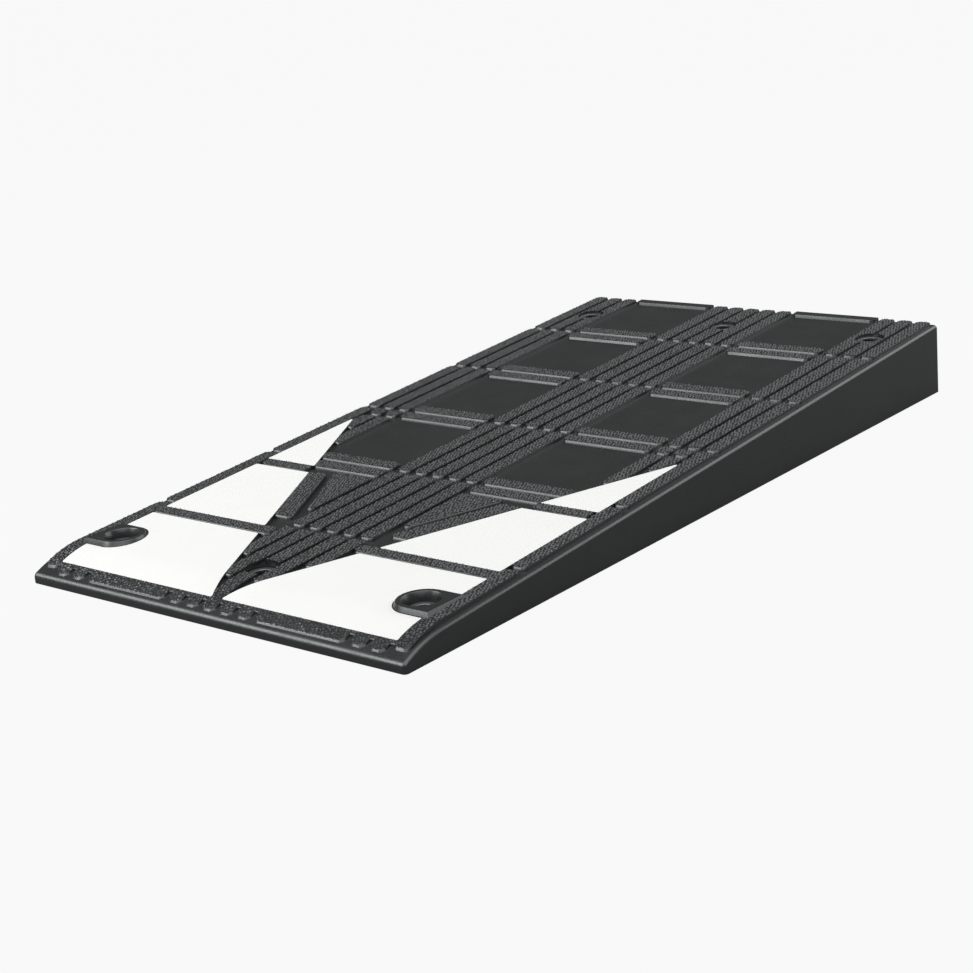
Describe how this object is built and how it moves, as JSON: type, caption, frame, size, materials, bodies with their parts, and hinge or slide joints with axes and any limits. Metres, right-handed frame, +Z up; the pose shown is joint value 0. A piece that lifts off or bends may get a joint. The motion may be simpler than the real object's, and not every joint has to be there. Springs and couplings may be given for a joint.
{
  "type": "rubber kerb ramp",
  "caption": "Low wedge of black rubber with a ribbed tread, rounded front nosing, white marking inlays beside a black arrow and stepped fixing holes; lets wheels climb a kerb.",
  "frame": {"origin": "middle of the flat underside, on the road", "axes": "+Y from the low front lip to the tall kerb face, +X to the right for someone driving up the ramp, +Z up"},
  "size_m": [0.5, 0.95, 0.085],
  "materials": {
    "black_rubber": "matte moulded rubber with a finely knurled tread",
    "white_marking": "matte white",
    "washer_steel": "dull dark zinc"
  },
  "bodies": {
    "root": {"ramp_body": "black_rubber", "marking_front_left": "white_marking", "marking_front_right": "white_marking", "marking_middle_left": "white_marking", "marking_middle_right": "white_marking", "marking_rear_left": "white_marking", "marking_rear_right": "white_marking", "washer_front_left": "washer_steel", "washer_front_centre": "washer_steel", "washer_front_right": "washer_steel", "washer_rear_left": "washer_steel", "washer_rear_centre": "washer_steel", "washer_rear_right": "washer_steel"}
  },
  "joints": []
}
